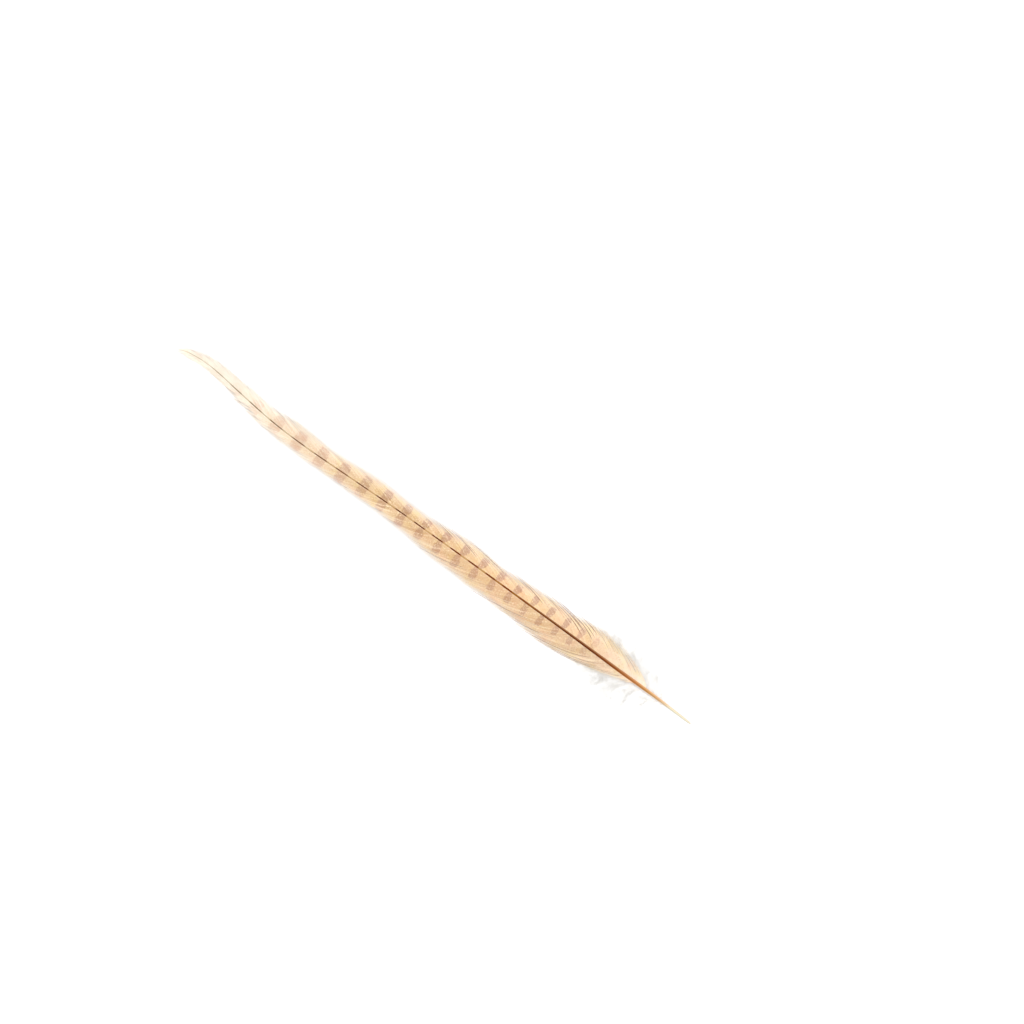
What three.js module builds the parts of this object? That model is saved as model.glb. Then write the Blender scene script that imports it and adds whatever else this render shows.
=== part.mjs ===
// A cock pheasant's tail feather at its real size, lying on a flat surface with its upper side up.
// Millimetres, +Z up. +X runs from the quill end to the tip, and +Y points to the left vane.
// While it is drawn, x is the distance from the quill end. At the end the whole group is moved so
// that its origin is the middle of the underside of its box.
import * as THREE from 'three';

// ---- driving dimensions ----

const featherLength = 450;
const restLength = 10;        // the stretch of the quill that lies flat on the surface
const assemblyGap = 0.3;      // kept between the shaft and what grows from it
const vaneThickness = 0.5;
const downThickness = 0.6;
const edgeThinning = 0.6;     // how much of a plate's thickness is lost at its outer edge
const shaftSides = 10;
const plateColumns = 4;       // strips across a vane, from the shaft to the edge
const stationStep = 8;        // from one cross-section to the next along the feather

// Each profile is a smooth curve through [distance from the quill end, value] points.

// How far the shaft lies to the left of the line that the feather follows as a whole.
const sidewaysBend = profile([
  [0, 0.9], [13, 0.5], [25, 0.2], [40, 0], [62, 0], [85, -0.3], [110, -0.5], [150, -0.6],
  [190, -0.7], [225, -0.6], [262, -0.35], [290, 0.4], [342, 1.5], [365, 0.75], [396, -2.4],
  [418, -5.0], [428, -5.5], [438, -4.7], [446, -2.9], [450, 0],
]);

// The shaft: slender at the quill end, widest at the foot of the vanes, a hair's breadth at the tip.
const shaftWidth = profile([
  [0, 0.9], [3, 1.3], [13, 1.6], [25, 2.0], [38, 2.5], [60, 2.65], [90, 2.2], [110, 1.9],
  [130, 1.65], [167, 1.3], [237, 1.05], [330, 0.95], [400, 0.8], [450, 0.4],
]);
const shaftDepth = profile([
  [0, 0.9], [3, 1.3], [13, 1.6], [25, 1.9], [38, 2.3], [60, 2.3], [90, 2.0], [110, 1.8],
  [167, 1.3], [237, 1.0], [330, 0.85], [400, 0.7], [450, 0.4],
]);

// Height of the shaft's underside: the feather arches, touches down before the tip and lifts again.
const shaftUnderside = profile([
  [restLength, 0], [20, 0.2], [45, 1.1], [90, 2.8], [130, 4.0], [200, 5.1], [260, 5.0],
  [330, 3.6], [380, 2.0], [412, 1.0], [432, 1.5], [450, 3.0],
]);

// Width of each vane, from the middle of the shaft to the edge.
const leftVaneWidth = profile([
  [50, 2.2], [53, 3.4], [60, 4.6], [67, 6.4], [74, 9.2], [88, 12.1], [103, 14.5], [117, 16.6],
  [124, 16.3], [152, 14.5], [195, 13.7], [223, 12.1], [252, 9.8], [280, 8.5], [322, 7.8],
  [372, 7.8], [386, 6.4], [408, 4.6], [429, 3.6], [443, 3.3], [449, 1.4],
]);
const rightVaneWidth = profile([
  [42, 3.5], [46, 7.5], [53, 9.6], [60, 11.2], [67, 13.0], [74, 15.0], [85, 16.4], [96, 15.7],
  [110, 13.2], [131, 12.8], [152, 10.9], [174, 9.6], [198, 10.8], [216, 10.0], [237, 8.1], [252, 8.2],
  [287, 9.6], [322, 8.2], [351, 10.2], [365, 8.5], [400, 7.1], [429, 5.4], [443, 2.6], [449, 1.2],
]);

// Height of the vanes' outer edges: they droop to the surface where the feather is widest.
const vaneEdgeHeight = profile([
  [45, 2.8], [60, 2.8], [75, 2.3], [85, 1.6], [95, 0.8], [105, 0.4], [130, 0.4], [160, 1.4],
  [200, 2.8], [260, 3.8], [330, 2.8], [380, 1.4], [412, 0.5], [432, 1.2], [450, 2.9],
]);
const vaneRootRise = 0.2;     // the barbs leave the shaft this far above the middle of its depth

// The down at the foot of the vanes.
const downWidth = profile([
  [14, 2.5], [22, 9], [35, 15], [50, 18], [64, 18.5], [74, 16], [82, 11],
]);
const downEdgeHeight = profile([[14, 0.6], [82, 0.7]]);
const downRootRise = -0.35;

// ---- curves and meshes ----

// A smooth curve through the given points, as a function of x.
function profile(points) {
  const places = points.map((point) => point[0]);
  const values = points.map((point) => point[1]);
  const interpolant = new THREE.CubicInterpolant(places, values, 1);
  return (x) => interpolant.evaluate(THREE.MathUtils.clamp(x, places[0], places.at(-1)))[0];
}

// Places along the feather from start to end, evenly spaced by about the station step.
function stations(start, end) {
  const count = Math.ceil((end - start) / stationStep);
  return Array.from({ length: count + 1 }, (_, i) => start + ((end - start) * i) / count);
}

// The point at a distance to the left of the shaft's middle line, square to it, at a height.
function besideShaft(x, toLeft, height) {
  const step = 0.5;
  const slope = (sidewaysBend(x + step) - sidewaysBend(x - step)) / (2 * step);
  const normal = new THREE.Vector2(-slope, 1).normalize();
  return new THREE.Vector3(x + toLeft * normal.x, sidewaysBend(x) + toLeft * normal.y, height);
}

// A closed solid through cross-sections that all have the same even number of points.
// Each section runs anticlockwise as seen from the tip, so that its first and last points are
// neighbours, and so are every other pair counted from its two ends.
function loft(sections) {
  const size = sections[0].length;
  const corners = sections.flat().flatMap((point) => point.toArray());
  const triangles = [];
  const quad = (a, b, c, d) => triangles.push(a, b, c, a, c, d);
  for (let s = 0; s < sections.length - 1; s += 1) {
    const here = s * size;
    const next = here + size;
    for (let i = 0; i < size; i += 1) {
      const j = (i + 1) % size;
      quad(here + i, here + j, next + j, next + i);
    }
  }
  const last = (sections.length - 1) * size;
  for (let i = 0; i < size / 2 - 1; i += 1) {
    const mirror = size - 1 - i;
    quad(i, mirror, mirror - 1, i + 1);
    quad(last + i, last + i + 1, last + mirror - 1, last + mirror);
  }
  const geometry = new THREE.BufferGeometry();
  geometry.setAttribute('position', new THREE.Float32BufferAttribute(corners, 3));
  geometry.setIndex(triangles);
  geometry.computeVertexNormals();
  return geometry;
}

// ---- the shaft ----

function undersideAt(x) {
  return x <= restLength ? 0 : shaftUnderside(x);
}

function shaftMiddle(x) {
  return undersideAt(x) + shaftDepth(x) / 2;
}

// A ring around the shaft whose lowest side is level, so that the quill rests on a flat face.
function shaftSection(x) {
  const halfTurn = Math.PI / shaftSides;
  const stretch = 1 / Math.cos(halfTurn);
  return Array.from({ length: shaftSides }, (_, i) => {
    const angle = halfTurn * (2 * i + 1);
    const toLeft = (shaftWidth(x) / 2) * Math.sin(angle);
    const rise = -(shaftDepth(x) / 2) * stretch * Math.cos(angle);
    return besideShaft(x, -toLeft, shaftMiddle(x) + rise);
  }).reverse();
}

function shaftGeometry() {
  const places = [0, 0.8, 3, ...stations(restLength, featherLength)];
  return loft(places.map(shaftSection));
}

// ---- the vanes and the down ----

// A thin plate that grows from one side of the shaft. side is 1 on the left and -1 on the right.
function plateGeometry({ start, end, side, width, edgeHeight, rootRise, thickness, droop }) {
  const section = (x) => {
    const root = shaftWidth(x) / 2 + assemblyGap;
    const reach = Math.max(width(x), root + 0.5) - root;
    const rootHeight = shaftMiddle(x) + rootRise * Math.min(1, shaftDepth(x));
    const face = (up) => Array.from({ length: plateColumns + 1 }, (_, i) => {
      const across = i / plateColumns;
      const height = THREE.MathUtils.lerp(rootHeight, edgeHeight(x), across ** droop);
      const half = (thickness / 2) * (1 - edgeThinning * across);
      return besideShaft(x, side * (root + reach * across), height + up * half);
    });
    const loop = [...face(-1), ...face(1).reverse()];
    return side > 0 ? loop : loop.reverse();
  };
  return loft(stations(start, end).map(section));
}

function vaneGeometry(side, start, width) {
  return plateGeometry({
    start,
    end: featherLength - 1,
    side,
    width,
    edgeHeight: vaneEdgeHeight,
    rootRise: vaneRootRise,
    thickness: vaneThickness,
    droop: 1.6,
  });
}

function downGeometry(side) {
  return plateGeometry({
    start: 14,
    end: 82,
    side,
    width: downWidth,
    edgeHeight: downEdgeHeight,
    rootRise: downRootRise,
    thickness: downThickness,
    droop: 0.7,
  });
}

// ---- the feather ----

const horn = { color: 0x7a3f16, roughness: 0.35, metalness: 0 };
const barbs = { color: 0xefd0a4, roughness: 0.7, metalness: 0 };
const fluff = { color: 0xf3ede4, roughness: 0.9, metalness: 0 };

function addPiece(group, name, geometry, look) {
  const mesh = new THREE.Mesh(geometry, new THREE.MeshStandardMaterial(look));
  mesh.name = name;
  group.add(mesh);
}

const feather = new THREE.Group();
addPiece(feather, 'shaft', shaftGeometry(), horn);
addPiece(feather, 'left_vane', vaneGeometry(1, 50, leftVaneWidth), barbs);
addPiece(feather, 'right_vane', vaneGeometry(-1, 42, rightVaneWidth), barbs);
addPiece(feather, 'left_down', downGeometry(1), fluff);
addPiece(feather, 'right_down', downGeometry(-1), fluff);

const box = new THREE.Box3().setFromObject(feather);
const middle = box.getCenter(new THREE.Vector3());
feather.position.set(-middle.x, -middle.y, -box.min.z);

export default feather;
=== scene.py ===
"""A cock pheasant's tail feather, lying on a pale surface with its upper side up.

The feather's own measures are millimetres, with x counted from the quill end towards the tip.
beside_shaft() turns them into the frame's metres.
"""

import math

import bpy
import numpy as np
from mathutils import Matrix, Vector


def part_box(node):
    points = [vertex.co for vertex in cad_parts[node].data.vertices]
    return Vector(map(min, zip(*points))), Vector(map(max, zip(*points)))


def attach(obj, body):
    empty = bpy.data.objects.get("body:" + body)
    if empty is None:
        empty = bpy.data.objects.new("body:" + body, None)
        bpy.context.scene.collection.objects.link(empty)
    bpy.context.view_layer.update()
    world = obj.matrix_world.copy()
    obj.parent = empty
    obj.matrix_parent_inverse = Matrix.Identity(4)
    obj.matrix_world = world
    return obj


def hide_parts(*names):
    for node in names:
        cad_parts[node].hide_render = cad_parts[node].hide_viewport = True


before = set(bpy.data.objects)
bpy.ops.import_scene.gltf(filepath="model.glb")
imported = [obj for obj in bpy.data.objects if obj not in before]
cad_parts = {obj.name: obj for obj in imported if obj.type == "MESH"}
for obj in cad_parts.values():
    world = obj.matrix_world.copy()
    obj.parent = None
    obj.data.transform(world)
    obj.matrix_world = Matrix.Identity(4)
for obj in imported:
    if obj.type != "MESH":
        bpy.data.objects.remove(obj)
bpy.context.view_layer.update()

MM = 0.001
QUILL_END_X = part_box("shaft")[0][0]  # metres, where x is 0
FEATHER_LENGTH = 450.0
REST_LENGTH = 10.0  # the stretch of the quill that lies flat
RACHIS_END = 447.0  # the barbs reach a little further than the shaft
SEED = 20
FIBRE_SIDES = 4
UV_ROWS = 8  # long pieces are folded into this many rows of the bake map
UV_MARGIN = 0.04  # the share of a row that stays free along each side of it


# ---- the feather's form ----


def profile(points):
    """A smooth curve through (x, value) points, as a function of x."""
    xs, ys = np.array(points, float).T
    secants = np.diff(ys) / np.diff(xs)
    inner = (secants[:-1] + secants[1:]) / 2
    slopes = np.concatenate([secants[:1], inner, secants[-1:]])

    def curve(x):
        x = np.clip(x, xs[0], xs[-1])
        i = np.clip(np.searchsorted(xs, x, side="right") - 1, 0, len(xs) - 2)
        step = xs[i + 1] - xs[i]
        t = (x - xs[i]) / step
        start = ys[i] * (1 + 2 * t) * (1 - t) ** 2 + slopes[i] * step * t * (1 - t) ** 2
        end = ys[i + 1] * (3 - 2 * t) * t**2 - slopes[i + 1] * step * (1 - t) * t**2
        return start + end

    return curve


sideways_bend = profile(
    [(0, 0.9), (13, 0.5), (25, 0.2), (40, 0), (62, 0), (85, -0.3), (110, -0.5), (150, -0.6)]
    + [(190, -0.7), (225, -0.6), (262, -0.35), (290, 0.4), (342, 1.5), (365, 0.75)]
    + [(396, -2.4), (418, -5.0), (428, -5.5), (438, -4.7), (446, -2.9), (450, 0)]
)
shaft_width = profile(
    [(0, 0.9), (3, 1.3), (13, 1.6), (25, 2.0), (38, 2.5), (60, 2.65), (90, 2.2), (110, 1.9)]
    + [(130, 1.65), (167, 1.3), (237, 1.05), (330, 0.95), (400, 0.8), (450, 0.4)]
)
shaft_depth = profile(
    [(0, 0.9), (3, 1.3), (13, 1.6), (25, 1.9), (38, 2.3), (60, 2.3), (90, 2.0), (110, 1.8)]
    + [(167, 1.3), (237, 1.0), (330, 0.85), (400, 0.7), (450, 0.4)]
)
raised_underside = profile(
    [(REST_LENGTH, 0), (20, 0.2), (45, 1.1), (90, 2.8), (130, 4.0), (200, 5.1)]
    + [(260, 5.0), (330, 3.6), (380, 2.0), (412, 1.0), (432, 1.5), (450, 3.0)]
)
vane_edge_height = profile(
    [(45, 2.8), (60, 2.8), (75, 2.3), (85, 1.6), (95, 0.8), (105, 0.4), (130, 0.4), (160, 1.4)]
    + [(200, 2.8), (260, 3.8), (330, 2.8), (380, 1.4), (412, 0.5), (432, 1.2), (450, 2.9)]
)
VANE_ROOT_RISE = 0.2
VANE_DROOP = 1.6  # how late across the vane its droop comes
NARROWEST_VANE = 0.5  # shares of a vane's width are counted from at least this
FURTHEST_SHARE = 1.1  # stray ends droop no further than this share of the width
SLOPE_STEP = 0.5  # the shaft's slope at a place is measured this far before and after it


def shaft_underside(x):
    return np.where(x <= REST_LENGTH, 0.0, raised_underside(x))


def shaft_middle(x):
    return shaft_underside(x) + shaft_depth(x) / 2


def beside_shaft(place):
    """Frame points in metres for (x, distance to the left of the shaft's middle, height)."""
    x, to_left, height = np.moveaxis(np.asarray(place, float), -1, 0)
    rise = sideways_bend(x + SLOPE_STEP) - sideways_bend(x - SLOPE_STEP)
    slope = rise / (2 * SLOPE_STEP)
    length = np.hypot(slope, 1)
    along = x - to_left * slope / length
    sideways = sideways_bend(x) + to_left / length
    points = np.stack([along, sideways, height], -1) * MM
    return points + [QUILL_END_X, 0, 0]


def vane_width(vane, x):
    """From the middle of the shaft to the vane's edge."""
    return np.maximum(vane["width"](x), NARROWEST_VANE)


def vane_share(vane, x, out):
    """How far out a place on a vane is, from 0 at the shaft to 1 at the vane's edge."""
    root = shaft_width(x) / 2
    span = np.maximum(vane_width(vane, x) - root, NARROWEST_VANE)
    return np.clip((out - root) / span, 0, FURTHEST_SHARE)


def vane_height(x, share):
    """Height of a vane at a share of its width: it droops from the shaft to its edge."""
    root_height = shaft_middle(x) + VANE_ROOT_RISE * np.minimum(1, shaft_depth(x))
    return root_height + (vane_edge_height(x) - root_height) * share**VANE_DROOP


# ---- meshes ----


def tube_faces(count, stations, sides):
    """Four-cornered faces of many closed tubes, whose points run by tube, station and side."""
    tube = np.arange(count)[:, None, None] * stations * sides
    station = np.arange(stations - 1)[None, :, None] * sides
    side = np.arange(sides)[None, None, :]
    after = (side + 1) % sides
    low = tube + station
    corners = [low + side, low + after, low + sides + after, low + sides + side]
    return np.stack(np.broadcast_arrays(*corners), -1).reshape(-1, 4)


def tube_caps(count, stations, sides):
    """The two end faces of each tube, in strips of four-cornered faces."""
    tube = np.arange(count)[:, None] * stations * sides
    i = np.arange(sides // 2 - 1)[None, :]
    mirror = sides - 1 - i
    first = np.stack([tube + i, tube + mirror, tube + mirror - 1, tube + i + 1], -1)
    last = first[..., ::-1] + (stations - 1) * sides
    return np.concatenate([first.reshape(-1, 4), last.reshape(-1, 4)])


def closed_tubes(count, stations, sides):
    """All faces of many closed tubes."""
    return np.concatenate([tube_faces(count, stations, sides), tube_caps(count, stations, sides)])


def folded_uv(first, second, faces):
    """Face-corner UVs of a long thin piece: first runs along it in rows, second across it."""
    along = first[faces]
    across = second[faces]
    wraps = np.ptp(across, axis=1, keepdims=True) > 0.5
    across = np.where(wraps & (across < 0.5), across + 1, across)
    just_inside = 0.999999  # keeps the piece's last point in the last row
    row = np.floor(along.min(axis=1, keepdims=True) * UV_ROWS * just_inside)
    u = np.clip(along * UV_ROWS - row, 0, 1)
    v = (row + UV_MARGIN + across * (1 - 2 * UV_MARGIN)) / UV_ROWS
    return np.stack([u, v], -1).reshape(-1, 2)


def mesh_piece(name, points, faces, uvs, values, material, smooth):
    """An object with a bake UV map, one material, and values at its points for that to read."""
    mesh = bpy.data.meshes.new(name)
    mesh.from_pydata(points.reshape(-1, 3).tolist(), [], faces.tolist())
    layer = mesh.uv_layers.new(name="OFBake")
    layer.data.foreach_set("uv", uvs.astype(np.float32).ravel())
    for key, value in values.items():
        attribute = mesh.attributes.new(key, "FLOAT", "POINT")
        attribute.data.foreach_set("value", np.asarray(value, np.float32).ravel())
    mesh.polygons.foreach_set("use_smooth", np.full(len(faces), smooth))
    mesh.materials.append(material)
    piece = bpy.data.objects.new(name, mesh)
    bpy.context.collection.objects.link(piece)
    return piece


def fibres(centre, width_way, thick_way, half_width, half_thickness):
    """Points of diamond-section fibres, as (fibre, station, corner, 3)."""
    wide = width_way * half_width[..., None]
    thick = thick_way * half_thickness[..., None]
    corners = [centre - wide, centre - thick, centre + wide, centre + thick]
    return np.stack(corners, axis=2)


def unit(vectors):
    return vectors / np.maximum(np.linalg.norm(vectors, axis=-1, keepdims=True), 1e-9)


def smoothstep(low, high, value):
    t = np.clip((value - low) / (high - low), 0, 1)
    return t * t * (3 - 2 * t)


def wander(rng, places, pitch):
    """Smooth random values between about -1 and 1 that change over the given pitch."""
    knots = np.arange(places.min() - 2 * pitch, places.max() + 3 * pitch, pitch)
    return np.interp(places, knots, rng.uniform(-1, 1, len(knots)))


# ---- the shaft ----


SHAFT_SIDES = 24
SHAFT_STATION_STEP = 1.5
GROOVE_DEPTH = 0.22  # along the rachis's underside, as a share of its half depth
GROOVE_SPREAD = 0.35  # radians to each side


def shaft_stations():
    """x and the share of the full section at each station: the quill end is round and open."""
    bore = [(1.4, 0.25), (0.5, 0.45), (0.05, 0.62)]
    rim = [(0.0, 0.75), (0.12, 0.9), (0.4, 0.98)]
    full = [(x, 1.0) for x in np.arange(1.0, RACHIS_END - 1.0, SHAFT_STATION_STEP)]
    point = [(RACHIS_END - 0.6, 0.7), (RACHIS_END, 0.3)]
    return np.array(bore + rim + full + point).T


def build_shaft(material):
    x, share = shaft_stations()[..., None]
    angle = (np.arange(SHAFT_SIDES)[None, :] + 0.5) * 2 * np.pi / SHAFT_SIDES
    half_width = shaft_width(x) / 2 * share
    half_depth = shaft_depth(x) / 2 * share
    groove = GROOVE_DEPTH * smoothstep(55, 90, x) * smoothstep(400, 330, x)
    fold = np.exp(-((angle - np.pi) / GROOVE_SPREAD) ** 2) * groove
    to_left = half_width * np.sin(angle)
    rise = half_depth * np.cos(angle) * (1 - fold)
    height = np.maximum(shaft_middle(x) + rise, 0.0)
    place = np.stack([np.broadcast_to(x, to_left.shape), to_left, height], -1)
    faces = closed_tubes(1, len(x), SHAFT_SIDES)[:, ::-1]
    along = np.repeat(x, SHAFT_SIDES, axis=1).ravel()
    around = np.tile(np.arange(SHAFT_SIDES) / SHAFT_SIDES, len(x))
    values = {
        "along": along,
        "leftward": np.sin(angle).repeat(len(x), axis=0).ravel(),
        "bar_count": right_bar_count(along),
    }
    uvs = folded_uv(along / FEATHER_LENGTH, around, faces)
    points = beside_shaft(place)
    return mesh_piece("feather_shaft", points, faces, uvs, values, material, smooth=True)


# ---- the vanes ----

# Bars counted from the foot of the feather: a whole number is the middle of a bar.
right_bar_count = profile(
    [(63.8, 0), (112.7, 4), (169.4, 8), (233.9, 12), (303.8, 16), (380.7, 20), (417.6, 22)]
    + [(455, 24)]
)
left_bar_count = profile(
    [(68, 0), (116.3, 4), (171.6, 8), (234.7, 12), (303.6, 16), (380.7, 20), (417.6, 22)]
    + [(455, 24)]
)

# The angle between a barb and the shaft, in degrees, where it leaves the shaft and at its end.
root_angle = profile(
    [(42, 84), (50, 72), (62, 60), (80, 55), (130, 46), (250, 40), (350, 34), (420, 26)]
    + [(440, 14), (450, 4)]
)
edge_angle = profile(
    [(42, 20), (60, 20), (80, 17), (110, 9), (200, 7), (350, 7), (430, 6), (450, 1)]
)

# A vane's width is counted from the middle of the shaft, and so is how far out its bars reach.
# The vane is paler towards its edge. At the foot of the feather that starts at the share
# fade_start of its width, and is foot_fade strong.
# A split is (where the barbs beside it grow, how far out it starts as a share of the vane's
# width, how wide it opens in mm, how strong the painted shadow and highlight along it are). A
# wisp is (where its barbs grow, how far its end swings out in mm).
VANES = {
    "right": {
        "side": -1,
        "first_root": 40.5,
        "width": profile(
            [(40, 4.5), (43, 6.8), (46, 8.2), (53, 10.0), (60, 11.2), (67, 13.0), (74, 15.0)]
            + [(85, 16.4), (96, 15.7), (110, 13.2), (131, 12.8), (152, 10.9), (174, 9.6)]
            + [(198, 10.8), (216, 10.0), (237, 8.1), (252, 8.2), (287, 9.6), (322, 8.2)]
            + [(351, 10.2), (365, 8.5), (400, 7.1), (429, 5.4), (443, 2.6), (449, 1.2)]
            + [(451, 0.2)]
        ),
        "fade_start": 0.2,
        "foot_fade": 1.0,
        "bar_count": right_bar_count,
        "bar_reach": profile(
            [(60, 9.5), (113, 9.0), (155, 7.6), (185, 8.6), (234, 7.3), (275, 8.2), (304, 7.0)]
            + [(342, 7.5), (381, 5.4), (420, 4.0)]
        ),
        "splits": [
            (47.5, 0.50, 0.3, 0.4),
            (52.0, 0.60, 0.25, 0.5),
            (57.0, 0.55, 0.2, 0.6),
            (62.0, 0.45, 0.2, 0.6),
            (69.0, 0.30, 0.15, 1.0),
            (74.5, 0.55, 0.15, 0.8),
            (80.0, 0.45, 0.1, 0.8),
            (84.5, 0.22, 0.15, 1.0),
            (89.5, 0.35, 0.1, 0.9),
            (94.8, 0.15, 0.15, 1.0),
            (103.0, 0.55, 0.1, 0.6),
            (124.0, 0.36, 0.15, 1.0),
            (128.5, 0.60, 0.15, 0.8),
            (150.0, 0.65, 0.2, 0.5),
            (177.0, 0.50, 0.1, 0.8),
            (181.0, 0.40, 0.15, 1.0),
            (190.0, 0.60, 0.2, 0.6),
            (197.0, 0.52, 0.15, 1.0),
            (262.0, 0.70, 0.2, 0.4),
            (323.0, 0.62, 0.3, 0.8),
            (339.0, 0.72, 0.4, 1.0),
            (372.0, 0.75, 0.5, 0.3),
            (398.0, 0.70, 0.5, 0.3),
        ],
        "wisps": [(291.0, 0.8), (327.0, 1.0), (402.0, 0.9)],
    },
    "left": {
        "side": 1,
        "first_root": 50.0,
        "width": profile(
            [(50, 2.2), (53, 3.4), (60, 4.6), (67, 6.4), (74, 9.2), (88, 12.1), (103, 14.5)]
            + [(117, 16.6), (124, 16.3), (152, 14.5), (195, 13.7), (223, 12.1), (252, 9.8)]
            + [(280, 8.3), (322, 7.3), (350, 6.9), (372, 6.8), (386, 5.9), (408, 4.5), (429, 3.6)]
            + [(443, 3.3), (449, 1.4), (451, 0.2)]
        ),
        "fade_start": 0.35,
        "foot_fade": 0.65,
        "bar_count": left_bar_count,
        "bar_reach": profile(
            [(60, 7.0), (116, 7.6), (129, 8.7), (172, 8.8), (202, 10.1), (235, 8.8), (251, 9.6)]
            + [(270, 8.2), (303, 8.0), (323, 6.8), (381, 5.5), (420, 4.0)]
        ),
        "splits": [
            (61.0, 0.50, 0.15, 0.8),
            (66.0, 0.50, 0.15, 1.0),
            (72.0, 0.35, 0.1, 0.7),
            (80.0, 0.25, 0.1, 0.8),
            (99.0, 0.60, 0.15, 1.0),
            (121.0, 0.45, 0.15, 1.0),
            (129.0, 0.75, 0.2, 0.5),
            (184.0, 0.28, 0.1, 0.9),
            (201.0, 0.70, 0.2, 0.7),
            (224.0, 0.78, 0.3, 0.7),
            (270.0, 0.78, 0.3, 0.7),
            (338.0, 0.75, 0.4, 0.3),
            (357.0, 0.60, 0.6, 0.5),
            (368.0, 0.55, 0.9, 0.7),
            (375.5, 0.35, 0.4, 1.0),
            (381.0, 0.70, 1.3, 0.8),
            (389.0, 0.55, 0.8, 0.6),
        ],
        "wisps": [(273.0, 0.7), (362.0, 0.9), (377.8, 1.8), (392.0, 0.8)],
    },
}

# Sizes are in mm, as everywhere on the feather, where nothing else is said.
BARB_PITCH = 0.42
ROOT_JITTER = 0.2  # share of the pitch
BARB_STATIONS = 14
STATION_CROWDING = 1.15  # above 1, the stations of a barb lie closer together at its root
BARB_FILL = 0.66  # a barb's half width as a share of its pitch: neighbours overlap
THINNEST_BARB = 0.05  # half width, before it tapers
BARB_END = 0.08  # a barb's width at its end as a share of its width along it
TAPER_START = 0.72  # share of a barb's length where it begins to taper
BARB_HALF_THICKNESS = 0.045
BARB_TILT = 0.16  # how much a barb's rim on the tip side rises above its other rim
LOWEST_BARB = 0.12
BARB_TURN = 0.6  # below 1, a barb turns most near the shaft
BARB_STRAY = 0.22  # how far the ends of the barbs stray, as a standard deviation
LAYER_UNEVENNESS = 0.02
WISP_SPREAD = 0.7

PATH_STEP = 0.25
PATH_STEPS = 320
SHORTEST_PATH = 6  # steps
TIP_REACH = 450.5
TIP_SPREAD = 14.0  # a barb with a reach of 0.7 ends 0.3 times this before the tip
MEAN_REACH = 1.03  # of the barbs, as a share of the vane's width
REACH_WAVE = 0.05
REACH_SCATTER = 0.11
REACH_LIMITS = (0.7, 1.35)

SPLIT_OPENING = 0.25  # share of the vane's width over which a split opens
FAINT_SPLIT_SPACING = (1.5, 6.0)
SPLIT_SPREAD = 1.2  # how far beside a split its barbs are drawn aside
# How far the painted shadow beside a split and the painted highlight on its outer rim spread, and
# how strong that highlight is.
SPLIT_SHADE_SPREAD = 0.34
SPLIT_HIGHLIGHT_SPREAD = 0.25
SPLIT_HIGHLIGHT_STRENGTH = 0.6
CLUMP_LIFT = 0.18  # how far the clumps between the splits rise or sink at the vane's edge


def barb_roots(rng, vane):
    """Where the barbs leave the shaft, along it."""
    count = int((RACHIS_END - 1 - vane["first_root"]) / BARB_PITCH)
    jitter = rng.uniform(-ROOT_JITTER, ROOT_JITTER, count)
    return vane["first_root"] + (np.arange(count) + jitter) * BARB_PITCH


def barb_reach(rng, roots):
    """How far out each barb ends, as a share of the vane's width: the edge is soft and uneven."""
    reach = MEAN_REACH + REACH_WAVE * wander(rng, roots, 3.0)
    reach = reach + rng.normal(0, REACH_SCATTER, len(roots))
    return np.clip(reach, *REACH_LIMITS)


def trace_barbs(vane, roots, reach):
    """Follows each barb from the shaft to its end: x, distance out, angle, last step."""
    x = roots.copy()
    out = shaft_width(x) * 0.4  # inside the shaft's outline
    xs, outs, angles = [], [], []
    for _ in range(PATH_STEPS):
        turn = np.clip(out / vane_width(vane, x), 0, 1) ** BARB_TURN
        angle = np.radians(root_angle(x) * (1 - turn) + edge_angle(x) * turn)
        xs.append(x)
        outs.append(out)
        angles.append(angle)
        x = x + PATH_STEP * np.cos(angle)
        out = out + PATH_STEP * np.sin(angle)
    xs, outs, angles = (np.stack(rows, 1) for rows in (xs, outs, angles))
    tip = TIP_REACH - TIP_SPREAD * np.maximum(1 - reach, 0)
    ended = (outs >= vane["width"](xs) * reach[:, None]) | (xs >= tip[:, None])
    ended[:, -1] = True
    return xs, outs, angles, np.maximum(ended.argmax(axis=1), SHORTEST_PATH)


def sample_paths(table, last, t):
    """The values of each row of a table at shares t of the way to its last step."""
    at = last[:, None] * t[None, :]
    low = np.floor(at).astype(int)
    high = np.minimum(low + 1, table.shape[1] - 1)
    rows = np.arange(len(table))[:, None]
    return table[rows, low] * (1 - at + low) + table[rows, high] * (at - low)


def all_splits(rng, vane):
    """The vane's own splits and, between them, faint ones where clumps of barbs part a little."""
    splits = list(vane["splits"])
    x = vane["first_root"]
    while x < RACHIS_END:
        # How dark the painted shadow along each faint split is.
        darkness = rng.uniform(0.15, 0.45) + 0.3 * smoothstep(120, 90, x)
        start = rng.uniform(0.2, 0.8)
        gap = rng.uniform(0.0, 0.12)
        splits.append((x, start, gap, darkness))
        x += rng.uniform(*FAINT_SPLIT_SPACING)
    return sorted(splits)


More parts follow.
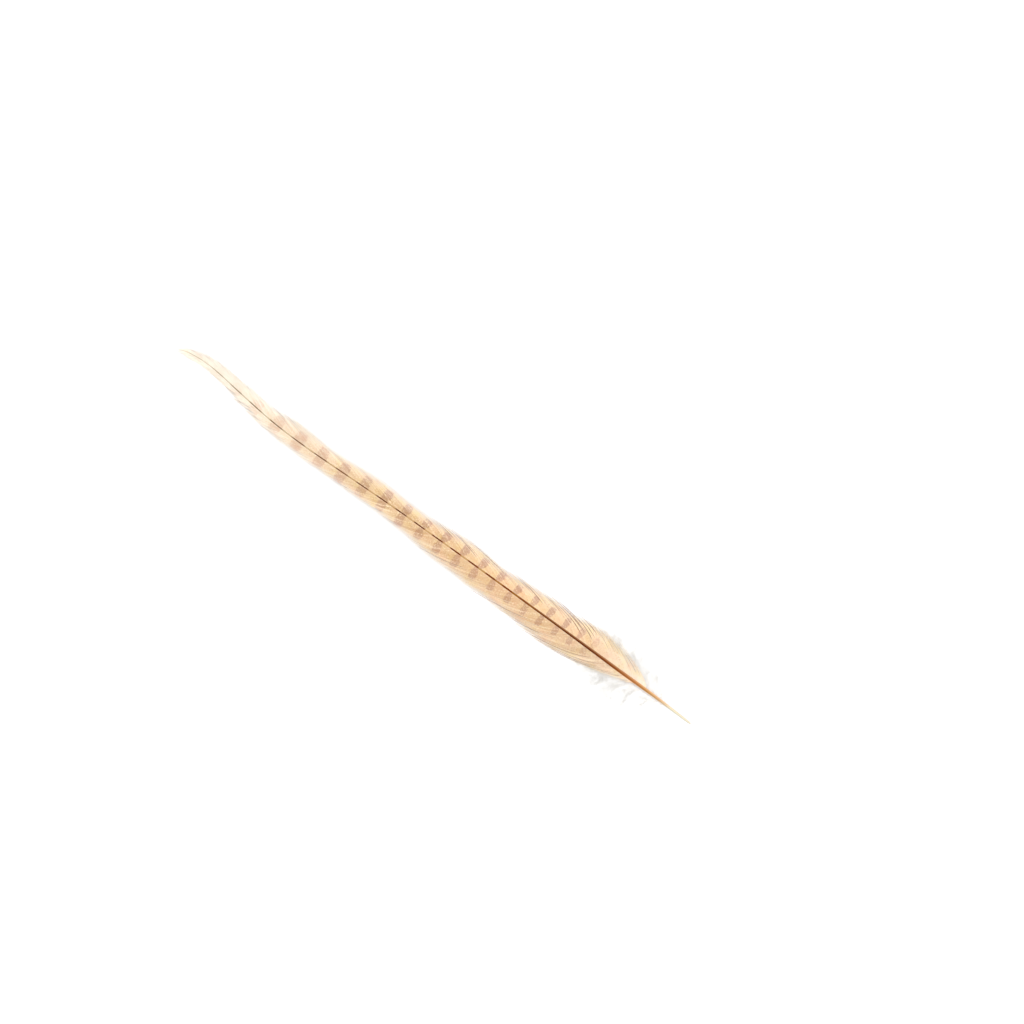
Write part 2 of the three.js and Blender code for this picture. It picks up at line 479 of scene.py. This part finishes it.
def part_barbs(rng, vane, roots, angle, share):
    """What the splits do to the barbs: how far each is drawn aside, its lift, its painted shading
    and its tone.

    The painted shading is above 0 in the painted shadow on a split's inner side, which is partly
    the darker edges of barbs turned on their side, and below 0 in the painted highlight on its
    outer rim.
    """
    shift = np.zeros_like(share)
    split_shade_and_highlight = np.zeros_like(share)
    splits = all_splits(rng, vane)
    for root, start, gap, darkness in splits:
        distance = (roots - root)[:, None] * np.sin(angle)
        inner = distance > 0
        opening = smoothstep(start, start + SPLIT_OPENING, share)
        nearness = np.exp(-abs(distance) / SPLIT_SPREAD)
        shift += np.where(inner, 0.5, -0.5) * gap * opening * nearness
        # A painted shadow on the split's inner side and a painted highlight on its outer rim.
        spread = np.where(inner, SPLIT_SHADE_SPREAD, SPLIT_HIGHLIGHT_SPREAD)
        strength = np.where(inner, 1.0, -SPLIT_HIGHLIGHT_STRENGTH) * darkness
        split_shade_and_highlight += strength * opening * np.exp(-((distance / spread) ** 2))
    ends = np.array([split[0] for split in splits])
    clump = np.searchsorted(ends, roots)
    clump_lift = rng.uniform(-CLUMP_LIFT, CLUMP_LIFT, len(ends) + 1)[clump]
    lift = clump_lift[:, None] * smoothstep(0.3, 1.0, share)
    tone = rng.uniform(-1, 1, len(ends) + 1)[clump]
    return shift, lift, split_shade_and_highlight, tone


def wisp_swing(vane, roots):
    """How far the end of each barb swings out of the vane with the wisps, in mm."""
    return sum(
        size * np.exp(-(((roots - at) / WISP_SPREAD) ** 2)) for at, size in vane["wisps"]
    )


def lay_barbs(rng, vane, roots):
    """The barbs' middle lines, painted split shading and tones, by barb and station."""
    xs, outs, angles, last = trace_barbs(vane, roots, barb_reach(rng, roots))
    t = np.linspace(0, 1, BARB_STATIONS) ** STATION_CROWDING
    x, out, angle = (sample_paths(table, last, t) for table in (xs, outs, angles))
    t = np.broadcast_to(t, x.shape)
    share = vane_share(vane, x, out)
    shift, lift, split_shade_and_highlight, clump_tone = part_barbs(rng, vane, roots, angle, share)
    loose = smoothstep(72, 48, roots)[:, None]  # the barbs at the foot barely hold together
    stray = rng.normal(0, BARB_STRAY, len(roots))[:, None]
    stray = stray * t ** (5 - 2 * loose) * (1 + 5 * loose)
    inward = shift + stray - wisp_swing(vane, roots)[:, None] * t**3
    unevenness = rng.uniform(-LAYER_UNEVENNESS, LAYER_UNEVENNESS, len(roots))[:, None]
    unevenness = unevenness * (1 + 6 * loose * t)
    return {
        "t": t,
        "x": x + inward * np.sin(angle),
        "out": np.maximum(out - inward * np.cos(angle), 0.05),
        "height": np.maximum(vane_height(x, share) + lift + unevenness, LOWEST_BARB),
        "angle": angle,
        "loose": loose,
        "split_shade_and_highlight": split_shade_and_highlight,
        "clump_tone": clump_tone,
    }


def barb_points(vane, barbs):
    """The barbs as diamond-section fibres, in feather millimetres."""
    t = barbs["t"]
    x = barbs["x"]
    angle = barbs["angle"]
    side = vane["side"]
    centre = np.stack([x, side * barbs["out"], barbs["height"]], -1)
    tilt = np.full_like(x, BARB_TILT)
    width_way = unit(np.stack([np.sin(angle), -side * np.cos(angle), tilt], -1))
    thick_way = np.broadcast_to(np.array([0.0, 0.0, 1.0]), width_way.shape)
    taper = 1 - (1 - BARB_END) * smoothstep(TAPER_START, 1.0, t)
    thin = 1 - 0.8 * barbs["loose"] * t**0.8 - 0.25 * smoothstep(380, 440, x)
    half_width = np.maximum(BARB_PITCH * np.sin(angle) * BARB_FILL, THINNEST_BARB)
    half_thickness = BARB_HALF_THICKNESS * (1 - 0.75 * t)
    return fibres(centre, width_way, thick_way, half_width * taper * thin, half_thickness)


def barb_uvs(t, faces):
    """The barbs side by side in the rows of the bake map."""
    slots = math.ceil(len(t) / UV_ROWS) * UV_ROWS
    corner = np.array([0.1, 0.5, 0.9, 0.5])[None, None, :]
    first = (np.arange(len(t))[:, None, None] + corner + 0 * t[..., None]) / slots
    second = t[..., None] + 0 * corner
    return folded_uv(first.ravel(), second.ravel(), faces)


def barb_values(rng, vane, roots, barbs, shape):
    """What the vane's material reads at each point."""
    x = barbs["x"]
    out = barbs["out"]
    bar_jitter = 0.025 * wander(rng, roots, 1.3) + rng.uniform(-0.015, 0.015, len(roots))
    tone = 0.5 * barbs["clump_tone"] + 0.6 * wander(rng, roots, 2.2)
    tone = tone + 0.9 * wander(rng, roots, 1.1)
    tone = tone + rng.uniform(-0.5, 0.5, len(roots))
    by_station = {
        "along": x,
        "across": out,
        "bar_count": vane["bar_count"](x) + bar_jitter[:, None],
        "bar_share": out / vane["bar_reach"](x),
        "edge_share": out / vane_width(vane, x),
        "tone": tone[:, None],
        "split_shade_and_highlight": barbs["split_shade_and_highlight"],
    }
    values = {key: np.broadcast_to(value[..., None], shape) for key, value in by_station.items()}
    values["ridge"] = np.broadcast_to(np.array([0.0, 1.0, 0.0, 1.0]), shape)
    return values


def build_vane(name, vane, material):
    rng = np.random.default_rng(SEED + vane["side"])
    roots = barb_roots(rng, vane)
    barbs = lay_barbs(rng, vane, roots)
    place = barb_points(vane, barbs)
    faces = closed_tubes(len(roots), BARB_STATIONS, FIBRE_SIDES)
    if vane["side"] > 0:
        faces = faces[:, ::-1]
    uvs = barb_uvs(barbs["t"], faces)
    values = barb_values(rng, vane, roots, barbs, place.shape[:3])
    return mesh_piece(name, beside_shaft(place), faces, uvs, values, material, smooth=False)


# ---- the down ----

down_length = profile([(24, 5), (32, 14), (42, 22), (60, 23), (84, 20)])
DOWN_START = 24.0
DOWN_END = 84.0
DOWN_LIMIT = 20.0  # how far out the downy barbs reach
DOWN_BARBS = 100
DOWN_STATIONS = 12
DOWN_HEADING = 74  # degrees from the shaft
DOWN_CURL = -28  # degrees from root to end
DOWN_WAVE = 0.35  # radians that its heading sways to each side
DOWN_DIP = (-0.22, 0.06)  # the slope of a downy barb, before it sways up and down
UNDER_VANE = 0.45  # the down keeps this far below the vane
LOWEST_DOWN = 0.15
DOWN_HALF_WIDTH = 0.025

BARBULES_PER_BARB = 92
BARBULE_LENGTH = (1.4, 5.0)
BARBULE_HALF_WIDTHS = np.array([0.008, 0.007, 0.004])  # at its root, middle and end
BARBULE_OVERHANG = 1.5  # how far barbules reach past the barbs' limit
LOWEST_BARBULE = 0.08
FULL_GROWN_BARB = 18.0  # shorter downy barbs have shorter barbules


def trace_down(rng, vane):
    """Middle lines of the loose downy barbs, as (barb, station, 3) in feather millimetres."""
    spread = np.linspace(0, 1, DOWN_BARBS) ** 0.75  # sparser towards the quill
    roots = DOWN_START + (DOWN_END - DOWN_START) * spread + rng.uniform(-0.4, 0.4, DOWN_BARBS)
    length = down_length(roots) * rng.uniform(0.5, 1.15, DOWN_BARBS)
    heading = np.radians(DOWN_HEADING + rng.normal(0, 15, DOWN_BARBS))
    curl = np.radians(DOWN_CURL + rng.normal(0, 22, DOWN_BARBS))
    dip = rng.uniform(*DOWN_DIP, DOWN_BARBS)
    phase = rng.uniform(0, 2 * np.pi, DOWN_BARBS)
    x = roots
    out = shaft_width(roots) * 0.35  # inside the shaft's outline
    height = shaft_middle(roots) - 0.4
    step = length / (DOWN_STATIONS - 1)
    line = []
    for k in range(DOWN_STATIONS):
        line.append(np.stack([x, vane["side"] * out, height], -1))
        t = k / (DOWN_STATIONS - 1)
        angle = heading + curl * t + DOWN_WAVE * np.sin(5 * t + phase)
        x = x + step * np.cos(angle)
        out = np.clip(out + step * np.sin(angle), 0.3, DOWN_LIMIT)
        rise = dip + 0.18 * np.sin(4 * t + 2 * phase)
        below_vane = vane_height(x, vane_share(vane, x, out)) - UNDER_VANE
        highest = np.maximum(below_vane, LOWEST_DOWN + 0.05)
        height = np.clip(height + step * rise, LOWEST_DOWN, highest)
    return np.stack(line, 1)


def grow_barbules(rng, line):
    """Short side fibres along the downy barbs, as (barbule, station, 3)."""
    barbs, stations, _ = line.shape
    at = rng.uniform(0.01, 1, (barbs, BARBULES_PER_BARB)) ** 0.6 * (stations - 1)
    low = np.minimum(np.floor(at).astype(int), stations - 2)
    rows = np.arange(barbs)[:, None]
    onward = line[rows, low + 1] - line[rows, low]
    root = (line[rows, low] + onward * (at - low)[..., None]).reshape(-1, 3)
    ahead = unit(onward).reshape(-1, 3)
    around = rng.normal(size=ahead.shape) * [1, 1, 0.35]
    outward = unit(around - (around * ahead).sum(-1, keepdims=True) * ahead)
    size = np.linalg.norm(line[:, -1] - line[:, 0], axis=-1) / FULL_GROWN_BARB
    length = rng.uniform(*BARBULE_LENGTH, at.shape) * (1 - 0.25 * at / stations)
    length = (length * np.minimum(size, 1)[:, None]).reshape(-1, 1)
    bend = rng.uniform(0.1, 0.9, (len(root), 1))
    middle = root + length * (0.25 * ahead + 0.45 * outward)
    end = root + length * (bend * ahead + 0.7 * outward)
    barbules = np.stack([root, middle, end], 1)
    limit = DOWN_LIMIT + BARBULE_OVERHANG
    barbules[..., 1] = np.clip(barbules[..., 1], -limit, limit)
    barbules[..., 2] = np.maximum(barbules[..., 2], LOWEST_BARBULE)
    return barbules


def fibre_piece(lines, half_width):
    """Thin fibres around middle lines: frame points and faces."""
    ahead = unit(np.gradient(lines, axis=1))
    width_way = unit(np.cross(ahead, [0.13, 0.21, 1.0]))  # no fibre runs along this upright line
    thick_way = unit(np.cross(ahead, width_way))
    half_width = np.broadcast_to(half_width, lines.shape[:2])
    place = fibres(lines, width_way, thick_way, half_width, half_width)
    count, stations = lines.shape[:2]
    return beside_shaft(place).reshape(-1, 3), closed_tubes(count, stations, FIBRE_SIDES)


def build_down(name, vane, material):
    rng = np.random.default_rng(SEED + 10 + vane["side"])
    line = trace_down(rng, vane)
    barbules = grow_barbules(rng, line)
    stems, stem_faces = fibre_piece(line, DOWN_HALF_WIDTH * np.linspace(1, 0.3, DOWN_STATIONS))
    fluff, fluff_faces = fibre_piece(barbules, BARBULE_HALF_WIDTHS)
    points = np.concatenate([stems, fluff])
    faces = np.concatenate([stem_faces, fluff_faces + len(stems)])
    spread = (points - points.min(0)) / np.ptp(points, axis=0)
    uvs = spread[faces][..., :2].reshape(-1, 2)
    values = {"stem": np.arange(len(points)) < len(stems)}
    return mesh_piece(name, points, faces, uvs, values, material, smooth=True)


# ---- materials ----


def srgb(red, green, blue):
    """Linear colour with alpha from 0 to 255 screen values."""
    def linear(v):
        v = v / 255
        return v / 12.92 if v <= 0.04045 else ((v + 0.055) / 1.055) ** 2.4

    return (linear(red), linear(green), linear(blue), 1.0)


# Colours along the feather, as (x in mm, colour) stops.
GROUND_STOPS = {
    "right": [
        (42, srgb(253, 250, 243)),
        (50, srgb(252, 243, 228)),
        (64, srgb(250, 237, 216)),
        (89, srgb(245, 219, 183)),
        (112, srgb(246, 223, 187)),
        (142, srgb(245, 219, 178)),
        (184, srgb(243, 217, 175)),
        (235, srgb(228, 199, 152)),
        (268, srgb(226, 197, 151)),
        (291, srgb(235, 213, 176)),
        (320, srgb(239, 221, 192)),
        (370, srgb(246, 232, 211)),
        (405, srgb(252, 245, 234)),
        (450, srgb(252, 247, 238)),
    ],
    "left": [
        (52, srgb(248, 238, 222)),
        (66, srgb(243, 226, 200)),
        (89, srgb(236, 213, 181)),
        (120, srgb(235, 208, 168)),
        (184, srgb(236, 208, 167)),
        (262, srgb(230, 204, 162)),
        (291, srgb(236, 215, 179)),
        (320, srgb(240, 223, 195)),
        (350, srgb(246, 231, 207)),
        (405, srgb(252, 245, 234)),
        (450, srgb(252, 247, 237)),
    ],
}
QUILL_STOPS = [
    (0, srgb(206, 197, 174)),
    (13, srgb(205, 197, 170)),
    (18, srgb(203, 194, 166)),
    (22, srgb(189, 168, 136)),
    (28, srgb(173, 138, 98)),
    (38, srgb(160, 114, 63)),
    (49, srgb(150, 93, 46)),
    (67, srgb(112, 56, 15)),
    (88, srgb(88, 38, 7)),
    (110, srgb(88, 40, 8)),
    (130, srgb(98, 50, 14)),
]
HORN_STOPS = QUILL_STOPS + [
    (152, srgb(134, 84, 28)),
    (169, srgb(147, 99, 48)),
    (184, srgb(166, 126, 76)),
    (205, srgb(175, 137, 90)),
    (240, srgb(178, 141, 95)),
    (300, srgb(172, 137, 92)),
    (335, srgb(176, 149, 112)),
    (370, srgb(178, 161, 131)),
    (400, srgb(180, 168, 145)),
    (450, srgb(192, 183, 164)),
]
DARK_HORN_STOPS = QUILL_STOPS + [
    (150, srgb(112, 55, 13)),
    (190, srgb(106, 46, 8)),
    (250, srgb(88, 32, 4)),
    (300, srgb(106, 62, 28)),
    (323, srgb(108, 66, 32)),
    (350, srgb(112, 77, 47)),
    (375, srgb(120, 95, 63)),
    (400, srgb(132, 112, 84)),
    (415, srgb(150, 134, 108)),
    (450, srgb(190, 182, 162)),
]
# The colour of the painted highlight on the shaft's flanks.
LIT_FLANK = srgb(250, 200, 150)
EDGE_COLOUR = srgb(255, 245, 225)
BAR_TINTS = {"right": srgb(231, 217, 220), "left": srgb(236, 224, 227)}
TIP_BAR_TINT = srgb(241, 228, 221)
# Darkens the random streaks, and is also the painted shade between the barbs.
STREAK_AND_SHADE_TINT = srgb(236, 219, 200)
YELLOW_TINT = srgb(254, 253, 240)
PINK_TINT = srgb(255, 249, 248)
# Paler streaks, and also the painted highlight beside the splits.
PALE_STREAK_AND_HIGHLIGHT = srgb(254, 240, 214)
PALE_TIP = srgb(255, 252, 244)
# Painted shadow in the splits, partly the darker edges of barbs turned on their side.
SPLIT_SHADE_COLOUR = srgb(150, 88, 36)
DOWN_COLOUR = srgb(242, 240, 236)
DOWN_STEM_COLOUR = srgb(242, 238, 230)

# Noise features for each mm along the feather and across it.
GRAIN_SCALE = 0.9
PATCH_SCALE = 0.13


class Graph:
    """Short calls for a material's nodes; each returns the socket that it makes."""

    def __init__(self, name):
        self.material = bpy.data.materials.new(name)
        self.material.use_nodes = True
        self.tree = self.material.node_tree
        self.tree.nodes.clear()

    def add(self, kind, inputs=None, **settings):
        node = self.tree.nodes.new(kind)
        for key, value in settings.items():
            setattr(node, key, value)
        for key, value in (inputs or {}).items():
            if isinstance(value, bpy.types.NodeSocket):
                self.tree.links.new(value, node.inputs[key])
            else:
                node.inputs[key].default_value = value
        return node

    def value(self, name):
        return self.add("ShaderNodeAttribute", attribute_name=name).outputs["Fac"]

    def math(self, operation, *inputs):
        node = self.add("ShaderNodeMath", dict(enumerate(inputs)), operation=operation)
        return node.outputs[0]

    def step(self, low, high, value, to_low=0.0, to_high=1.0):
        """A smooth change from to_low to to_high as the value goes from low to high."""
        inputs = {"Value": value, "From Min": low, "From Max": high}
        inputs |= {"To Min": to_low, "To Max": to_high}
        node = self.add("ShaderNodeMapRange", inputs, interpolation_type="SMOOTHSTEP")
        return node.outputs[0]

    def ramp(self, along, stops):
        """A colour along the feather, from (mm, colour) stops."""
        share = self.math("DIVIDE", along, FEATHER_LENGTH)
        node = self.add("ShaderNodeValToRGB", {"Fac": share})
        elements = node.color_ramp.elements
        while len(elements) < len(stops):
            elements.new(0.5)
        for element, (place, colour) in zip(elements, stops):
            element.position = place / FEATHER_LENGTH
            element.color = colour
        return node.outputs["Color"]

    def mix(self, share, first, second, blend="MIX"):
        inputs = {0: share, 6: first, 7: second}
        node = self.add("ShaderNodeMix", inputs, data_type="RGBA", blend_type=blend)
        return node.outputs[2]

    def noise(self, vector, scale, detail=2.0):
        inputs = {"Vector": vector, "Scale": scale, "Detail": detail}
        return self.add("ShaderNodeTexNoise", inputs).outputs["Fac"]

    def vector(self, x, y):
        return self.add("ShaderNodeCombineXYZ", {"X": x, "Y": y}).outputs[0]

    def finish(self, shader):
        self.add("ShaderNodeOutputMaterial", {"Surface": shader})
        return self.material


def fibre_shader(graph, colour, roughness, see_through):
    """A dull fibre surface that lets some light through."""
    inputs = {"Base Color": colour, "Roughness": roughness, "Specular IOR Level": 0.3}
    surface = graph.add("ShaderNodeBsdfPrincipled", inputs).outputs[0]
    glow = graph.add("ShaderNodeBsdfTranslucent", {"Color": colour}).outputs[0]
    return graph.add("ShaderNodeMixShader", {0: see_through, 1: surface, 2: glow}).outputs[0]


def bar_place(graph, tipward=0.0):
    """How far a point is from the middle of the nearest bar, in bar pitches, tipward above 0.

    The bars can be moved tipward first, by a share of a pitch.
    """
    count = graph.math("SUBTRACT", graph.value("bar_count"), tipward)
    count = graph.math("ADD", count, 0.5)
    return graph.math("SUBTRACT", graph.math("FRACT", count), 0.5)


def bar_shape(graph, along):
    """1 inside a bar: straight on its tip side, and towards the foot of the feather narrow
    at the shaft and wider outwards, with a rounded outer end."""
    share = graph.value("bar_share")
    half = graph.step(80, 430, along, 0.17, 0.21)
    narrow = graph.step(230, 290, along, 0.25, 0.95)
    spread = graph.step(0.0, 0.6, share, narrow, 1.05)
    slant = graph.step(0.5, 0.0, share, 0.0, 0.03)
    tipward = graph.math("DIVIDE", graph.math("ADD", bar_place(graph), slant), half)
    footward = graph.math("DIVIDE", graph.math("MULTIPLY", tipward, -1.0), spread)
    lengthwise = graph.math("POWER", graph.math("MAXIMUM", tipward, footward), 5.0)
    outward = graph.math("POWER", share, 7.0)
    return graph.step(1.5, 0.6, graph.math("ADD", lengthwise, outward))


def bar_strength(graph, along):
    """Bars are fainter beside the shaft, towards the tip and at the foot of the feather."""
    near_shaft = graph.step(0.3, 1.1, graph.value("across"), 0.25, 1.0)
    tip = graph.step(425, 335, along, 0.12, 0.8)
    tip = graph.math("ADD", tip, graph.step(350, 225, along, 0.0, 0.2))
    foot = graph.step(70, 116, along, 0.08, 1.0)
    return graph.math("MULTIPLY", near_shaft, graph.math("MULTIPLY", tip, foot))


def ground_colour(graph, along, vane, stops, nearly_white, pale):
    """The colour between the bars: paler at the vane's edge and beside the shaft."""
    ground = graph.ramp(along, stops)
    edge_share = graph.value("edge_share")
    inner_end = graph.step(300, 400, along, vane["fade_start"], 0.1)
    fade = graph.step(inner_end, 0.94, edge_share)
    fade = graph.math("MULTIPLY", fade, graph.step(160, 300, along, vane["foot_fade"], 0.95))
    ground = graph.mix(fade, ground, graph.mix(nearly_white, EDGE_COLOUR, PALE_TIP))
    inner = graph.step(2.3, 0.8, graph.value("across"), 0.0, 0.22)
    ground = graph.mix(inner, ground, pale)
    rim = graph.step(0.78, 1.05, edge_share, 0.0, 0.8)
    return graph.mix(rim, ground, PALE_TIP)


def add_bars(graph, along, ground, full_tint):
    """The bars tint the ground, less strongly near the tip."""
    tint = graph.mix(graph.step(270, 360, along), full_tint, TIP_BAR_TINT)
    barred = graph.mix(1.0, ground, tint, "MULTIPLY")
    share = graph.math("MULTIPLY", bar_shape(graph, along), bar_strength(graph, along))
    return graph.mix(share, ground, barred)


def add_streaks(graph, along, place, colour, pale):
    """Darker and paler barbs, most of all away from the shaft."""
    grain = graph.noise(place, GRAIN_SCALE, detail=1.0)
    grain = graph.math("MULTIPLY", graph.math("SUBTRACT", grain, 0.5), 3.2)
    outer = graph.step(0.2, 0.8, graph.value("edge_share"), 0.35, 1.0)
    streak = graph.math("ADD", graph.math("MULTIPLY", graph.value("tone"), outer), grain)
    strength = graph.step(440, 330, along, 0.3, 0.65)
    darker = graph.math("MULTIPLY", graph.step(0.1, 1.1, streak), strength)
    colour = graph.mix(darker, colour, STREAK_AND_SHADE_TINT, "MULTIPLY")
    return graph.mix(graph.step(0.0, -1.0, streak, 0.0, 0.85), colour, pale)


def add_patches(graph, along, place, colour):
    """Wide patches that lean a little to yellow or to pink."""
    patch = graph.math("SUBTRACT", graph.noise(place, PATCH_SCALE), 0.5)
    patch = graph.math("MULTIPLY", patch, graph.step(380, 290, along, 0.15, 1.0))
    colour = graph.mix(graph.step(0.0, 0.16, patch, 0.0, 0.8), colour, YELLOW_TINT, "MULTIPLY")
    return graph.mix(graph.step(0.0, -0.16, patch, 0.0, 0.8), colour, PINK_TINT, "MULTIPLY")


def add_painted_shading(graph, colour, pale):
    """Painted shade along the rims between the barbs, and beside each split a painted shadow,
    partly the darker edges of barbs turned on their side, and a painted highlight.
    """
    # Painted shade along the side rims of each barb, where its neighbours overlap it.
    between = graph.step(0.9, 0.2, graph.value("ridge"), 0.0, 0.18)
    colour = graph.mix(between, colour, STREAK_AND_SHADE_TINT, "MULTIPLY")
    # Painted shadow along the splits' inner sides, then a painted highlight on their outer rims.
    split_shade_and_highlight = graph.value("split_shade_and_highlight")
    colour = graph.mix(graph.step(0.08, 0.85, split_shade_and_highlight, 0.0, 0.85), colour, SPLIT_SHADE_COLOUR)
    return graph.mix(graph.step(-0.05, -0.6, split_shade_and_highlight, 0.0, 0.5), colour, pale)


def vane_material(name, vane, ground_stops, bar_tint):
    graph = Graph(name)
    along = graph.value("along")
    place = graph.vector(along, graph.value("across"))
    nearly_white = graph.step(275, 380, along)
    pale = graph.mix(nearly_white, PALE_STREAK_AND_HIGHLIGHT, PALE_TIP)
    colour = ground_colour(graph, along, vane, ground_stops, nearly_white, pale)
    colour = add_bars(graph, along, colour, bar_tint)
    colour = add_streaks(graph, along, place, colour, pale)
    colour = add_patches(graph, along, place, colour)
    colour = add_painted_shading(graph, colour, pale)
    return graph.finish(fibre_shader(graph, colour, roughness=0.6, see_through=0.45))


def lit_flanks(graph, along):
    """How strongly the painted highlight on the shaft's flanks shows: most before the vanes, and
    not at all past 170 mm.
    """
    leftward = graph.value("leftward")
    rightward = graph.math("MAXIMUM", graph.math("SUBTRACT", 0.2, leftward), 0.0)
    glow = graph.step(60, 30, along, 0.27, 0.55)
    glow = graph.math("MULTIPLY", glow, graph.step(8, 28, along, 0.2, 1.0))
    right = graph.math("MULTIPLY", graph.math("POWER", rightward, 1.4), glow)
    left = graph.step(0.62, 1.0, leftward, 0.0, graph.step(80, 50, along, 0.07, 0.65))
    left = graph.math("MULTIPLY", left, graph.step(14, 30, along))
    return graph.math("MULTIPLY", graph.math("ADD", right, left), graph.step(170, 110, along))


def shaft_material():
    """Pale at the quill, dark at the foot of the vanes, and dashed like their bars past that."""
    graph = Graph("shaft_horn_look")
    along = graph.value("along")
    tipward = graph.step(330, 140, along, 0.0, 0.46)
    offset = graph.math("ABSOLUTE", bar_place(graph, tipward))
    dash = graph.step(0.35, 0.23, offset)
    horn = graph.mix(dash, graph.ramp(along, HORN_STOPS), graph.ramp(along, DARK_HORN_STOPS))
    # Painted highlight along the shaft's flanks.
    horn = graph.mix(lit_flanks(graph, along), horn, LIT_FLANK)
    inputs = {"Base Color": horn, "Roughness": 0.4, "Specular IOR Level": 0.03}
    return graph.finish(graph.add("ShaderNodeBsdfPrincipled", inputs).outputs[0])


def down_material():
    graph = Graph("down_look")
    colour = graph.mix(graph.value("stem"), DOWN_COLOUR, DOWN_STEM_COLOUR)
    return graph.finish(fibre_shader(graph, colour, roughness=0.9, see_through=0.4))


# ---- the stage ----

# The photograph's width and height in pixels, and the pixels of the quill end and the tip.
PHOTO_SIZE = 1024
QUILL_PIXEL = Vector((691.1, 722.5))
TIP_PIXEL = Vector((176.1, 350.7))

# The stage is in the frame's metres, and a camera's sensor is in millimetres.
CAMERA_HEIGHT = 2.5
SENSOR = 36.0
FLOOR_SIZE = 8.0
FLOOR_COLOUR = (0.79, 0.79, 0.79, 1)
# A lamp is (its place, its size, its power in watts).
LAMPS = {
    "key": ((-0.3, -0.7, 1.4), 0.9, 12.0),
    "fill": ((0.5, 0.8, 1.4), 1.2, 8.0),
}


def add_camera():
    """Looks straight down, turned so that the quill end and the tip fall on their pixels."""
    run = TIP_PIXEL - QUILL_PIXEL
    pixel = FEATHER_LENGTH * MM / run.length
    ahead = Vector((run.x, -run.y)).normalized()  # the +X axis as seen in the picture
    right = Vector((ahead.x, -ahead.y, 0))
    up = Vector((ahead.y, ahead.x, 0))
    middle = (QUILL_PIXEL + TIP_PIXEL) / 2
    rightward = (PHOTO_SIZE / 2 - middle.x) * pixel
    upward = (middle.y - PHOTO_SIZE / 2) * pixel
    place = right * rightward + up * upward
    place.z = CAMERA_HEIGHT
    data = bpy.data.cameras.new("photo_camera")
    data.sensor_width = SENSOR
    data.lens = SENSOR * CAMERA_HEIGHT / (PHOTO_SIZE * pixel)
    camera = bpy.data.objects.new("photo_camera", data)
    turn = Matrix((right, up, Vector((0, 0, 1)))).transposed()
    camera.matrix_world = Matrix.Translation(place) @ turn.to_4x4()
    bpy.context.collection.objects.link(camera)
    bpy.context.scene.camera = camera


def add_floor():
    bpy.ops.mesh.primitive_plane_add(size=FLOOR_SIZE)
    floor = bpy.context.object
    floor.name = "floor"
    graph = Graph("floor_look")
    inputs = {"Base Color": FLOOR_COLOUR, "Roughness": 0.9, "Specular IOR Level": 0.1}
    shader = graph.add("ShaderNodeBsdfPrincipled", inputs).outputs[0]
    floor.data.materials.append(graph.finish(shader))


def add_lamp(name, place, size, power):
    """A round lamp that faces the frame's origin."""
    data = bpy.data.lights.new(name, "AREA")
    data.shape = "DISK"
    data.size = size
    data.energy = power
    lamp = bpy.data.objects.new(name, data)
    lamp.location = place
    lamp.rotation_euler = (-Vector(place)).to_track_quat("-Z", "Y").to_euler()
    bpy.context.collection.objects.link(lamp)


def add_light():
    """Even white light from all round, and two lamps."""
    world = bpy.data.worlds.new("studio")
    world.use_nodes = True
    background = world.node_tree.nodes["Background"]
    background.inputs["Strength"].default_value = 1.0
    background.inputs["Color"].default_value = (1, 1, 1, 1)
    bpy.context.scene.world = world
    for name, (place, size, power) in LAMPS.items():
        add_lamp(name, place, size, power)
    bpy.context.scene.view_settings.view_transform = "Standard"


# ---- the feather, put together ----


def add_pieces():
    shaft = build_shaft(shaft_material())
    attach(shaft, "root")
    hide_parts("shaft")
    down = down_material()
    for name, vane in VANES.items():
        look = vane_material(name + "_vane_look", vane, GROUND_STOPS[name], BAR_TINTS[name])
        barbs = build_vane(name + "_vane_barbs", vane, look)
        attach(barbs, "root")
        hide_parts(name + "_vane")
        fluff = build_down(name + "_down_fluff", vane, down)
        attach(fluff, "root")
        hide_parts(name + "_down")


add_camera()
add_floor()
add_light()
add_pieces()
